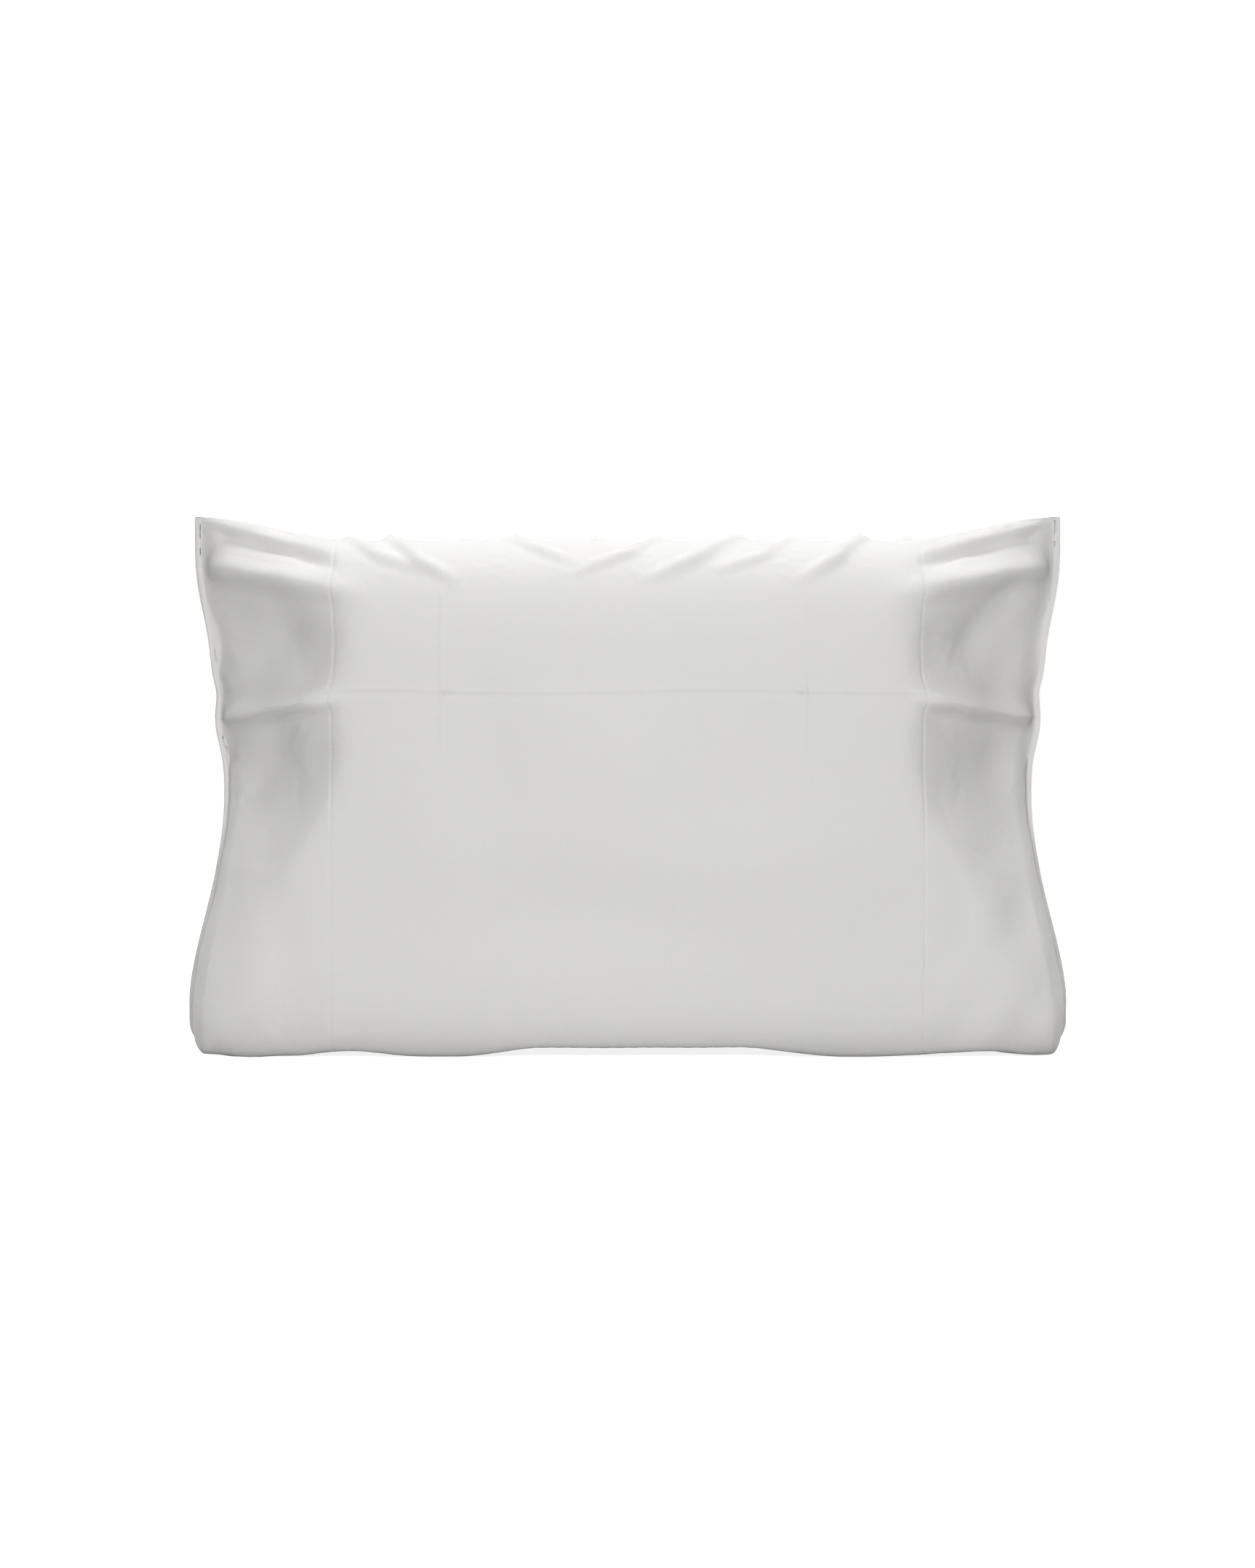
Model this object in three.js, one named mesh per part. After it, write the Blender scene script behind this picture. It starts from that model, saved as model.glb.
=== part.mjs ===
// A bed pillow in its cotton case, standing on one long edge.
//
// Units are millimetres, +Z is up and X runs along the pillow. The front faces -Y, and the origin
// is on the floor under the middle of the pillow.
//
// The case is a front and a back panel, sewn together along the top, the bottom and the left end.
// Its right end is the mouth, which a tuck flap closes. Both ends carry a deep hem: the cloth is
// turned in, and a row of stitches holds it. The pillow inside is two ticking panels, joined
// round a piped edge over a block of fibre. Each sewn-in label is blank.

import * as THREE from "three";

// Overall size.
const caseWidth = 730; // across the bottom corners
const caseHeight = 443; // floor to the top corners
const fullDepth = 170; // front crown to back crown

// Outline of the filled case.
const topCornerInset = 6; // each top corner stands this far inside the one below it
const bottomCornerCut = 14; // how far each bottom corner is rubbed back where it meets the floor
const bottomCornerHeight = 26; // height above which the bottom corner is full
const endPinch = 27; // how far each end pulls in between its corners
const topSag = 20; // how far the top seam dips between its corners
const earShare = 0.38; // share of half the top seam that rises to its corner
const bellyHeight = 150; // height of the fullest section
const floorPress = 20; // how much of the belly the floor presses flat
const shoulderInset = 134; // end to where the face turns towards it, in the upper half
const slumpInset = 65; // the same at the foot, where the filling has slumped outwards
const slumpHeight = 265; // the slump starts at this height
const slumpWall = 0.8; // share of the depth that the slumped ends keep
const wallRound = 16; // how far from the end such a wall rounds off

// Cloth, thread and trimmings.
const clothThickness = 0.5;
const layerGap = 0.3; // clearance between neighbouring layers
const seamGap = 0.3; // clearance between the panels where a seam joins them
const hemDepth = 124; // end of the case to its row of stitches
const hemLip = 6; // the turned-in cloth stops this far short of the case's end
const flapDepth = 165; // mouth to the tuck flap's inner edge
const threadWidth = 0.9;
const threadHeight = 0.5;
const allowanceWidth = 10; // seam allowance inside the case
const allowanceThickness = 0.8;
const allowanceSetback = 3; // seam line to the allowance's outer edge

// The pillow inside the case.
const pipingDiameter = 4;
const insertEndSlack = 50; // empty case beyond each end of the pillow
const insertDepthSlack = 5; // case to ticking, at the crown
const fibreClearance = 0.8; // ticking's outer face to the fibre

// Labels.
const labelThickness = 0.4;
const labelClearance = 3; // label to the pillow's piping
const insertLabelLength = 18;
const insertLabelHeight = 42;
const caseLabelWidth = 20;
const caseLabelHeight = 42;

// Grid of the covers, in cells on each side of the middle.
const bodyCells = 5;
const hemCells = 5;
const insertCells = 8;
const lowerRows = 8;
const upperRows = 9;
const pipingSides = 8;

// Sizes that follow from those above.
const hemLine = caseWidth / 2 - hemDepth;
const insertTopSlack = allowanceSetback + allowanceWidth + pipingDiameter + 4 * layerGap;
const insertFloor = clothThickness + allowanceThickness + pipingDiameter + 4 * layerGap;

const finish = (name, color, roughness) =>
  new THREE.MeshStandardMaterial({ name, color, roughness, metalness: 0 });
const cotton = finish("cotton", 0xe4e4e2, 0.85);
const thread = finish("thread", 0xf2f2f0, 0.6);
const ticking = finish("ticking", 0xf0efeb, 0.8);
const fibre = finish("fibre", 0xf7f7f5, 1);
const satin = finish("satin", 0xf5f5f5, 0.4);

const limited = (share) => Math.min(1, Math.max(0, share));
const ease = (share) => limited(share) ** 2 * (3 - 2 * limited(share));
const range = (from, to) => Array.from({ length: to - from + 1 }, (_, i) => from + i);

// Case outline ------------------------------------------------------------------------------

// Half of the case's width at a height: wide at the corners, pinched between them.
function caseHalfWidth(z) {
  const between = limited((z / caseHeight - 0.1) / 0.86);
  const pinch = Math.sin(Math.PI * between ** 0.85) ** 2;
  const cut = Math.max(0, 1 - z / bottomCornerHeight) ** 2;
  return caseWidth / 2 - topCornerInset * between - endPinch * pinch - bottomCornerCut * cut;
}

// Height of the case's top seam at a place along it: it dips between the corners.
function caseTop(x) {
  return caseHeight - topSag * ease((1 - Math.abs(x) / caseHalfWidth(caseHeight)) / earShare);
}

// Share of its depth that the case has left at a place along it. The face falls away evenly
// from a turn to the end, but low down the ends stay full and close in a rounded wall.
function caseFullness(x, halfWidth, z) {
  const low = ease((slumpHeight - z) / (0.45 * caseHeight));
  const turn = caseWidth / 2 - shoulderInset + (shoulderInset - slumpInset) * low;
  const past = limited((Math.abs(x) - turn) / (halfWidth - turn));
  const nearEnd = limited(1 - (halfWidth - Math.abs(x)) / wallRound);
  return (1 - (1 - slumpWall * low) * past) * Math.sqrt(1 - nearEnd ** 2.2);
}

// The pillow inside rounds off squarely at its ends.
const insertFullness = (x, halfWidth) => (1 - limited(Math.abs(x) / halfWidth) ** 6) ** 0.8;

// A cover is one half of a stuffed envelope: its outline, its depth and its fullness along it.
const caseCover = {
  halfWidth: caseHalfWidth,
  top: caseTop,
  floor: 0,
  depth: fullDepth / 2,
  fullness: caseFullness,
};

const insertCover = {
  halfWidth: (z) => caseHalfWidth(z) - insertEndSlack,
  top: (x) => caseTop(x) - insertTopSlack,
  floor: insertFloor,
  depth: fullDepth / 2 - insertDepthSlack,
  fullness: insertFullness,
};

// Columns of the case: -2 to -1 is the left hem, -1 to 1 the body and 1 to 2 the right hem.
function caseColumn(column, halfWidth) {
  if (Math.abs(column) <= 1) return column * hemLine;
  return Math.sign(column) * (hemLine + (Math.abs(column) - 1) * (halfWidth - hemLine));
}

// Columns of the pillow inside: shares of its half width.
const insertColumn = (column, halfWidth) => column * halfWidth;

// A point of a cover's front half. Row -1 is the bottom seam, 0 the belly and 1 the top seam, and
// inset is how far the point lies inside the cover's outer face.
function coverPoint(cover, columnPlace, column, row, inset) {
  const planeInset = 1.6 * inset; // the cover meets its seams at a slant
  const reach = Math.sin((Math.PI / 2) * Math.abs(row)); // belly to seam, closer rows at the seam
  const floor = cover.floor + inset;
  const nominal = row > 0 ? bellyHeight + reach * (caseHeight - bellyHeight) : bellyHeight * (1 - reach);
  const halfWidth = cover.halfWidth(nominal) - planeInset;
  const x = columnPlace(column, halfWidth);
  const endFall = cover.fullness(x, halfWidth, nominal);
  const rowFall = Math.sqrt(1 - reach ** (row > 0 ? 6 : 8));
  const upper = bellyHeight + reach * (cover.top(x) - planeInset - bellyHeight);
  const lower = bellyHeight - reach * (bellyHeight - floor + floorPress * endFall);
  const z = row > 0 ? upper : Math.max(floor, lower);
  return new THREE.Vector3(x, -seamGap / 2 - (cover.depth - inset) * endFall * rowFall, z);
}

const casePoint = (column, row, inset) => coverPoint(caseCover, caseColumn, column, row, inset);
const insertPoint = (column, row, inset) => coverPoint(insertCover, insertColumn, column, row, inset);

// Grid lines ----------------------------------------------------------------------------------

// Every edge of a layer of cloth falls on a column of the case, so that the layers nest.
const lipColumn = 2 - hemLip / hemDepth;
const wallColumn = 2 - wallRound / hemDepth;
const flapColumn = 1 - (flapDepth - hemDepth) / hemLine;
const hemStations = range(1, hemCells).map((i) => 1 + (i / hemCells) * (lipColumn - 1));
const bodyStations = range(1, bodyCells).map((i) => i / bodyCells);
const halfStations = [...bodyStations, flapColumn, ...hemStations, wallColumn, 2].sort((a, b) => a - b);
const caseColumns = [...halfStations.map((c) => -c), 0, ...halfStations].sort((a, b) => a - b);
const insertColumns = range(-insertCells, insertCells).map((i) => i / insertCells);
const rows = [
  ...range(-lowerRows, -1).map((i) => i / lowerRows),
  ...range(0, upperRows).map((i) => i / upperRows),
];

// Solids --------------------------------------------------------------------------------------

// A closed solid between two faces, each a function of a grid's column and row values. The cells'
// diagonals point away from the middle, so that none spans a corner of the cover.
function slab(columns, rowValues, faceA, faceB) {
  const across = columns.length;
  const up = rowValues.length;
  const grid = (face) => rowValues.flatMap((row) => columns.map((column) => face(column, row)));
  const points = [...grid(faceA), ...grid(faceB)];
  const at = (side, i, j) => side * across * up + j * across + i;
  const triangles = [];
  const quad = (a, b, c, d) => triangles.push(a, b, c, a, c, d);
  for (let j = 0; j < up - 1; j++) {
    for (let i = 0; i < across - 1; i++) {
      const outward = (columns[i] + columns[i + 1]) * (rowValues[j] + rowValues[j + 1]) > 0;
      const [a, b, c, d] = [at(0, i, j), at(0, i + 1, j), at(0, i + 1, j + 1), at(0, i, j + 1)];
      const lift = across * up;
      if (outward) quad(a, b, c, d);
      else quad(b, c, d, a);
      if (outward) quad(a + lift, d + lift, c + lift, b + lift);
      else quad(d + lift, c + lift, b + lift, a + lift);
    }
  }
  for (let i = 0; i < across - 1; i++) {
    quad(at(0, i, 0), at(1, i, 0), at(1, i + 1, 0), at(0, i + 1, 0));
    quad(at(0, i + 1, up - 1), at(1, i + 1, up - 1), at(1, i, up - 1), at(0, i, up - 1));
  }
  for (let j = 0; j < up - 1; j++) {
    quad(at(0, 0, j + 1), at(1, 0, j + 1), at(1, 0, j), at(0, 0, j));
    quad(at(0, across - 1, j), at(1, across - 1, j), at(1, across - 1, j + 1), at(0, across - 1, j + 1));
  }
  return closedGeometry(points, triangles);
}

// An indexed geometry, with its triangles turned round if they enclose a negative volume.
function closedGeometry(points, triangles) {
  let volume = 0;
  for (let i = 0; i < triangles.length; i += 3) {
    const [a, b, c] = [points[triangles[i]], points[triangles[i + 1]], points[triangles[i + 2]]];
    volume += a.dot(b.clone().cross(c));
  }
  const geometry = new THREE.BufferGeometry().setFromPoints(points);
  geometry.setIndex(volume < 0 ? triangles.reverse() : triangles);
  geometry.computeVertexNormals();
  return geometry;
}

// The same face on the back of the pillow.
const mirrored = (face) => (column, row) => face(column, row).multiply(new THREE.Vector3(1, -1, 1));

// A layer of cloth of the case, from one depth inside its outer face to another.
function caseLayer(columns, rowValues, outer, inner, side) {
  const faces = [outer, inner].map((inset) => (c, r) => casePoint(c, r, inset));
  return slab(columns, rowValues, ...(side === "back" ? faces.map(mirrored) : faces));
}

function insertLayer(outer, inner, side) {
  const faces = [outer, inner].map((inset) => (c, r) => insertPoint(c, r, inset));
  return slab(insertColumns, rows, ...(side === "back" ? faces.map(mirrored) : faces));
}

// A flat strip in the plane between the two panels. The edge is a function of its row value, and
// the strip reaches from there by allowanceWidth along the inward direction.
function midStrip(rowValues, edge, inward) {
  const face = (y) => (column, row) => edge(row).addScaledVector(inward, column * allowanceWidth).setY(y);
  return slab([0, 1], rowValues, face(-allowanceThickness / 2), face(allowanceThickness / 2));
}

// A cord that runs round a closed outline in the plane between the panels, mitred at its turns.
// The outline is given anticlockwise seen from the front, and the cord stands outside it.
function outlineCord(outline, stand, radius) {
  const turnAt = (i) => outline[(i + outline.length) % outline.length];
  const outwardOf = (from, to) => new THREE.Vector3(to.z - from.z, 0, from.x - to.x).normalize();
  const points = outline.flatMap((corner, i) => {
    const before = outwardOf(turnAt(i - 1), corner);
    const after = outwardOf(corner, turnAt(i + 1));
    const mitre = before.clone().add(after).divideScalar(1 + before.dot(after));
    return range(0, pipingSides - 1).map((k) => {
      const turn = (2 * Math.PI * k) / pipingSides;
      const point = corner.clone().addScaledVector(mitre, stand + radius * Math.cos(turn));
      return point.setY(radius * Math.sin(turn));
    });
  });
  const triangles = [];
  for (let i = 0; i < outline.length; i++) {
    for (let k = 0; k < pipingSides; k++) {
      const ring = i * pipingSides;
      const next = ((i + 1) % outline.length) * pipingSides;
      const side = (k + 1) % pipingSides;
      triangles.push(ring + k, next + k, next + side, ring + k, next + side, ring + side);
    }
  }
  return closedGeometry(points, triangles);
}

const pillow = new THREE.Group();

function add(name, geometry, material) {
  const mesh = new THREE.Mesh(geometry, material);
  mesh.name = name;
  pillow.add(mesh);
  return mesh;
}

// The case ------------------------------------------------------------------------------------

// Depths inside the case's outer face at which each layer of cloth starts.
const facingInset = clothThickness + layerGap;
const flapInset = facingInset + clothThickness + layerGap;

function addPanels() {
  add("case_front_panel", caseLayer(caseColumns, rows, 0, clothThickness, "front"), cotton);
  add("case_back_panel", caseLayer(caseColumns, rows, 0, clothThickness, "back"), cotton);
}

// Grid rows that the stitches run along, clear of the floor and of the top seam, and rows that a
// turned-in layer covers: it stops lower, where the panels are far enough apart to hold it.
const stitchRows = rows.filter((row) => row > -0.7 && row < 1);
const facingRows = stitchRows.slice(0, -1);

// Grid columns that a layer covers at one end, from its inner edge out to the hem's lip.
function layerColumns(innerColumn, end) {
  const within = (column) => column >= innerColumn && column <= lipColumn;
  return caseColumns.filter((column) => within(end === "left" ? -column : column));
}

function addHemFacings() {
  for (const end of ["left", "right"]) {
    for (const side of ["front", "back"]) {
      const depths = [facingInset, facingInset + clothThickness];
      const layer = caseLayer(layerColumns(1, end), facingRows, ...depths, side);
      add(`${end}_hem_facing_${side}`, layer, cotton);
    }
  }
}

// The flap lies against the front's hem facing and runs on past the stitches.
function addTuckFlap() {
  const columns = layerColumns(flapColumn, "right");
  const layer = caseLayer(columns, facingRows, flapInset, flapInset + clothThickness, "front");
  add("tuck_flap", layer, cotton);
}

// Each row of stitches stands on the panel's outer face, along the hem line.
function addHemStitches() {
  const halfColumn = threadWidth / 2 / hemLine;
  for (const [end, column] of Object.entries({ left: -1, right: 1 })) {
    for (const side of ["front", "back"]) {
      const columns = [column - halfColumn, column + halfColumn];
      const layer = caseLayer(columns, stitchRows, -layerGap - threadHeight, -layerGap, side);
      add(`${end}_hem_stitching_${side}`, layer, thread);
    }
  }
}

function addSeamAllowances() {
  const places = range(-8, 8).map((i) => (i / 8) * 0.86 * caseHalfWidth(caseHeight));
  const topEdge = (x) => new THREE.Vector3(x, 0, caseTop(x) - allowanceSetback);
  add("top_seam_allowance", midStrip(places, topEdge, new THREE.Vector3(0, 0, -1)), cotton);

  const heights = range(3, 20).map((i) => (i / 24) * caseHeight);
  const endEdge = (z) => new THREE.Vector3(allowanceSetback - caseHalfWidth(z), 0, z);
  add("closed_end_seam_allowance", midStrip(heights, endEdge, new THREE.Vector3(1, 0, 0)), cotton);

  // The bottom allowance is pressed flat on the floor of the case, to the back of its seam.
  const bottom = new THREE.BoxGeometry(2 * (hemLine - allowanceWidth), allowanceWidth, allowanceThickness);
  const floor = clothThickness + layerGap + allowanceThickness / 2;
  bottom.translate(0, allowanceWidth / 2 + seamGap, floor);
  add("bottom_seam_allowance", bottom, cotton);
}

// The middle of the pillow to the outside of its piping, at a height.
const cordReach = (z) => insertCover.halfWidth(z) + pipingDiameter + layerGap;

// The case's label stands on the bottom seam, between the pillow and the mouth.
function addCaseLabel() {
  const label = new THREE.BoxGeometry(caseLabelWidth, labelThickness, caseLabelHeight);
  const x = cordReach(caseLabelHeight) + labelClearance + caseLabelWidth / 2;
  label.translate(x, 0, clothThickness + 5 * layerGap + caseLabelHeight / 2);
  add("case_care_label", label, satin);
}

// The pillow inside ---------------------------------------------------------------------------

function addTicking() {
  add("ticking_front_panel", insertLayer(0, clothThickness, "front"), ticking);
  add("ticking_back_panel", insertLayer(0, clothThickness, "back"), ticking);
}

// The piping runs round the ticking's outline, one cord's radius and a gap outside it.
function addPiping() {
  const columns = insertColumns.slice(0, -1); // each side of the outline leaves out its last corner
  const outline = [
    ...columns.map((column) => insertPoint(column, -1, 0)),
    ...rows.slice(0, -1).map((row) => insertPoint(1, row, 0)),
    ...columns.map((column) => insertPoint(-column, 1, 0)),
    ...rows.slice(1).reverse().map((row) => insertPoint(-1, row, 0)),
  ];
  const radius = pipingDiameter / 2;
  add("ticking_piping", outlineCord(outline, radius + layerGap, radius), ticking);
}

// The fibre fills the ticking, and is thinner than the ticking's seam where its two faces meet.
function addFibre() {
  const thinner = new THREE.Vector3(0, seamGap / 3, 0);
  const front = (c, r) => insertPoint(c, r, fibreClearance).add(thinner);
  add("fibre_fill", slab(insertColumns, rows, front, mirrored(front)), fibre);
}

// The pillow's label hangs from its piped edge, in the empty left end of the case.
function addInsertLabel() {
  const label = new THREE.BoxGeometry(insertLabelLength, labelThickness, insertLabelHeight);
  const bottom = caseHeight / 8;
  const x = -cordReach(bottom) - labelClearance - insertLabelLength / 2;
  label.translate(x, 0, bottom + insertLabelHeight / 2);
  add("insert_care_label", label, satin);
}

addPanels();
addHemFacings();
addTuckFlap();
addHemStitches();
addSeamAllowances();
addCaseLabel();
addTicking();
addPiping();
addFibre();
addInsertLabel();

export default pillow;
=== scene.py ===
import math

import bpy
import numpy as np
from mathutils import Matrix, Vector


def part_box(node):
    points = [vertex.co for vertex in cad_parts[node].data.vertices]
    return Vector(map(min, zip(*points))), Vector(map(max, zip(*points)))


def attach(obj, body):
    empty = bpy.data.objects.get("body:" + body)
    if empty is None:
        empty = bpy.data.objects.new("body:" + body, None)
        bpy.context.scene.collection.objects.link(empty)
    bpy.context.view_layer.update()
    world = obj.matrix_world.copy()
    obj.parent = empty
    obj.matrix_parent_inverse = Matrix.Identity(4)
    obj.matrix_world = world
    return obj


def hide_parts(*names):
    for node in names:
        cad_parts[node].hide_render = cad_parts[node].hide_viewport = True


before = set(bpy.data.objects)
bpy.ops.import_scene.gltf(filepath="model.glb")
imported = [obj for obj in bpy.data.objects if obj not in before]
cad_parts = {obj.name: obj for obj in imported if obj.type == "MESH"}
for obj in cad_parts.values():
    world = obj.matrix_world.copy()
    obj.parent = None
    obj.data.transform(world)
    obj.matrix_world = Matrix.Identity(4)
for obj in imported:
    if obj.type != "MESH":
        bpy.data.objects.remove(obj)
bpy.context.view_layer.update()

# A bed pillow in a white percale case, stood on its long edge. The front looks along -Y.
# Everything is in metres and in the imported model's own frame.

frontLow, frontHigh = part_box("case_front_panel")
stitchLow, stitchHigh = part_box("right_hem_stitching_front")
halfLong = frontHigh.x                                # middle to a bottom corner
fullHigh = frontHigh.z
halfDeep = -frontLow.y                                # seam to the front's crown
hemLine = (stitchLow.x + stitchHigh.x) / 2            # middle to a row of hem stitches
hemDeep = halfLong - hemLine

# how the stuffed case falls

caseFall = {
    "bellyHigh": 0.150,       # height of the fullest section
    "bellyPress": 0.020,      # how much of the belly the floor presses flat
    "topCornerInset": 0.006,
    "cornerCut": 0.014,       # bottom corners rubbed back at the floor
    "cornerHigh": 0.026,
    "endPinch": 0.027,        # how far each end draws in between its corners
    "topDip": 0.020,          # how far the top seam dips between its ears
    "earShare": 0.38,         # share of half the width that an ear takes up
    # small waves in an end: height, size, extra draw
    "endWaves": [(0.345, 0.035, 0.0035), (0.298, 0.012, 0.0020), (0.268, 0.020, -0.0030)],
    "turnHigh": 0.231,        # where the face turns towards an end, in the upper half
    "turnLow": 0.300,         # the same at the foot, where the filling has slumped outwards
    "turnSoft": (0.07, 0.16), # how softly it turns, high and low
    "endBow": 0.82,           # below 1 the cloth falls faster and faster towards the end
    "endWall": 0.80,          # share of the depth that the slumped end keeps at the foot
    "wallRound": 0.016,       # how far from the end that wall rounds off
    "lip": 0.005,             # flat edge along each end
    "lipExtra": 0.0018,       # half the thickness of that edge
    "mouthGape": 0.0035,      # how far each side of the mouth stands open
    "seamGap": 0.00015,       # panel's edge to the plane of the seams
    "crown": 0.025,           # share of the depth lost between the middle and the turn
    "footMiddle": 0.0080,     # cloth above the floor in the middle; it rests nearer the corners
    "footSide": 0.0048,
}

cloth = {
    "thick": 0.0005,
    "flatLong": 0.75,         # the case as it was cut
    "flatHigh": 0.50,
    "flapReach": 0.165,       # mouth to the tuck flap's inner edge
}

# Pressed-in creases from the packet, which the filling hasn't pulled out.
creases = {
    "levelHigh": 0.299,       # height of the long crease on the face
    "levelDrop": 0.030,       # how far it falls towards each end
    "uprightAt": (-0.1505, 0.1440),   # where the two upright creases are
    "ridge": 0.00065,
    "ridgeWide": 0.0015,
    "uprightRidge": 0.00042,
    "crossing": 0.0022,       # pucker where two of them cross
}

# Small wrinkles: how far each kind lifts the cloth.
wrinkles = {
    "topPucker": 0.0011,
    "footPucker": 0.0009,
    "endPucker": 0.0006,
    "stitchDip": 0.00030,     # the thread draws the hem in
    "stitchPuff": 0.00012,    # and the cloth puffs up beside it
    "stitchPull": 0.0005,
    "slackEnd": 0.0012,
    "everywhere": 0.0005,
}


def ease(u):
    u = np.clip(u, 0, 1)
    return u * u * (3 - 2 * u)


def halfWidthAt(z):
    between = np.clip((z / fullHigh - 0.1) / 0.86, 0, 1)
    pinch = np.sin(math.pi * between ** 0.85) ** 2
    cut = np.clip(1 - z / caseFall["cornerHigh"], 0, 1) ** 2
    waves = sum(pull * np.exp(-(((z - high) / size) ** 2)) for high, size, pull in caseFall["endWaves"])
    return (halfLong - caseFall["topCornerInset"] * between - caseFall["endPinch"] * pinch
            - caseFall["cornerCut"] * cut - waves)


def topSeamAt(x):
    corner = halfLong - caseFall["topCornerInset"]
    return fullHigh - caseFall["topDip"] * ease((1 - np.abs(x) / corner) / caseFall["earShare"])


def rollTable(power, high):
    # reach towards a seam against length of cloth, in the middle of the case
    turn = np.linspace(0, math.pi / 2, 2000)
    reach = np.sin(turn)
    depth = halfDeep * np.sqrt(1 - reach ** power)
    length = np.concatenate([[0], np.cumsum(np.hypot(np.diff(depth), high * np.diff(reach)))])
    return length, reach


upperPower, lowerPower = 6.0, 8.0
upperLength, upperReach = rollTable(upperPower, fullHigh - caseFall["topDip"] - caseFall["bellyHigh"])
lowerLength, lowerReach = rollTable(lowerPower, caseFall["bellyHigh"])
topRise, footRise = upperLength[-1], -lowerLength[-1]     # cloth from the belly line to each seam


def riseAt(z, x=0.0):
    # cloth from the belly line up to a height on the face, at x from the middle
    high = float(topSeamAt(x)) - caseFall["bellyHigh"]
    up = (z - caseFall["bellyHigh"]) / high
    down = (caseFall["bellyHigh"] - z) / caseFall["bellyHigh"]
    if up > 0:
        return float(np.interp(min(up, 1), upperReach, upperLength))
    return -float(np.interp(min(down, 1), lowerReach, lowerLength))


def caseSurface(across, rise):
    # front of the smooth case; across is cloth from the middle line, rise is cloth from the belly line
    up = rise > 0
    reach = np.where(up, np.interp(rise, upperLength, upperReach),
                     np.interp(-rise, lowerLength, lowerReach))
    nominal = np.where(up, caseFall["bellyHigh"] + reach * (fullHigh - caseFall["bellyHigh"]),
                       caseFall["bellyHigh"] * (1 - reach))
    wide = halfWidthAt(nominal)
    hemShare = np.clip((np.abs(across) - hemLine) / hemDeep, 0, 1)
    x = np.sign(across) * (np.minimum(np.abs(across), hemLine) + hemShare * (wide - hemLine))
    low = ease((0.26 - nominal) / 0.19)
    turn = caseFall["turnHigh"] + (caseFall["turnLow"] - caseFall["turnHigh"]) * low
    edge = wide - caseFall["lip"] * (wide - hemLine) / hemDeep
    soft = caseFall["turnSoft"][0] + (caseFall["turnSoft"][1] - caseFall["turnSoft"][0]) * low
    past = (np.abs(x) - turn) / (edge - turn)
    past = np.clip((past + np.sqrt(past ** 2 + soft ** 2)) / (1 + np.sqrt(1 + soft ** 2)), 0, 1)
    wall = caseFall["endWall"] * ease((0.27 - nominal) / 0.2)
    endFall = 1 - (1 - wall) * (caseFall["endBow"] * past + (1 - caseFall["endBow"]) * past ** 2)
    fromEnd = np.maximum(hemLine + hemDeep - np.abs(across), 0)
    nearEdge = np.clip(1 - (fromEnd - caseFall["lip"]) / caseFall["wallRound"], 0, 1)
    endFall *= np.sqrt(1 - nearEdge ** 2.2)
    endFall *= 1 - caseFall["crown"] * np.minimum(np.abs(x) / turn, 1) ** 2
    rowFall = np.sqrt(np.maximum(1 - np.where(up, reach ** upperPower, reach ** lowerPower), 0))
    upper = caseFall["bellyHigh"] + reach * (topSeamAt(x) - caseFall["bellyHigh"])
    lower = caseFall["bellyHigh"] - reach * (caseFall["bellyHigh"] + caseFall["bellyPress"] * endFall)
    fromMiddle = np.abs(x) * np.where(x > 0, 0.80, 1)
    floor = (0.0003 + caseFall["footMiddle"] * (1 - ease((fromMiddle - 0.07) / 0.07))
             + caseFall["footSide"] * np.exp(-(((fromMiddle - 0.225) / 0.035) ** 2)))
    above = lower - floor
    lower = floor + 0.5 * (above + np.sqrt(above ** 2 + 0.003 ** 2)) - 0.0015 * (1 - endFall)
    z = np.where(up, upper, np.maximum(lower, 0.0003))
    closed = np.sqrt(1 - (1 - np.clip(fromEnd / 0.0018, 0, 1)) ** 2)
    edgeThick = caseFall["lipExtra"] * rowFall * np.where(across < 0, closed, 1)
    gape = caseFall["mouthGape"] * ease(1 - fromEnd / 0.05) * ease((1 - reach) / 0.4) * (across > 0)
    y = -caseFall["seamGap"] - edgeThick - gape - (halfDeep - caseFall["lipExtra"]) * endFall * rowFall
    return np.stack([x, y, z], axis=-1)


# folds and hollows

# Each fold runs from one point of the face to another, (x, z), and is mirrored unless it says otherwise.
endFolds = [
    {"name": "ear ridge", "path": [(0.356, 0.401), (0.300, 0.391), (0.243, 0.381), (0.200, 0.374)],
     "wide": (0.0140, 0.0085), "lift": 0.0135, "taper": (0.10, 0.55)},
    {"name": "ear valley", "path": [(0.350, 0.428), (0.315, 0.422), (0.275, 0.414), (0.235, 0.400)],
     "wide": (0.010, 0.009), "lift": -0.0075, "taper": (0.15, 0.3)},
    {"name": "ear crest", "path": [(0.352, 0.427), (0.318, 0.424), (0.300, 0.417)],
     "wide": (0.006, 0.006), "lift": 0.0020, "taper": (0.2, 0.4)},
    {"name": "crease ridge", "path": [(0.348, 0.272), (0.296, 0.281), (0.245, 0.290), (0.222, 0.294)],
     "wide": (0.0120, 0.0055), "lift": 0.0150, "taper": (0.14, 0.30)},
    {"name": "low ear ridge", "path": [(0.356, 0.030), (0.315, 0.066), (0.270, 0.105)],
     "wide": (0.020, 0.020), "lift": 0.003, "taper": (0.2, 0.6)},
]
endHollows = [
    {"name": "upper hollow", "at": (0.288, 0.343), "size": (0.046, 0.032), "depth": 0.0140},
    {"name": "lower hollow", "at": (0.292, 0.238), "size": (0.038, 0.042), "depth": 0.0085},
]
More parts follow.
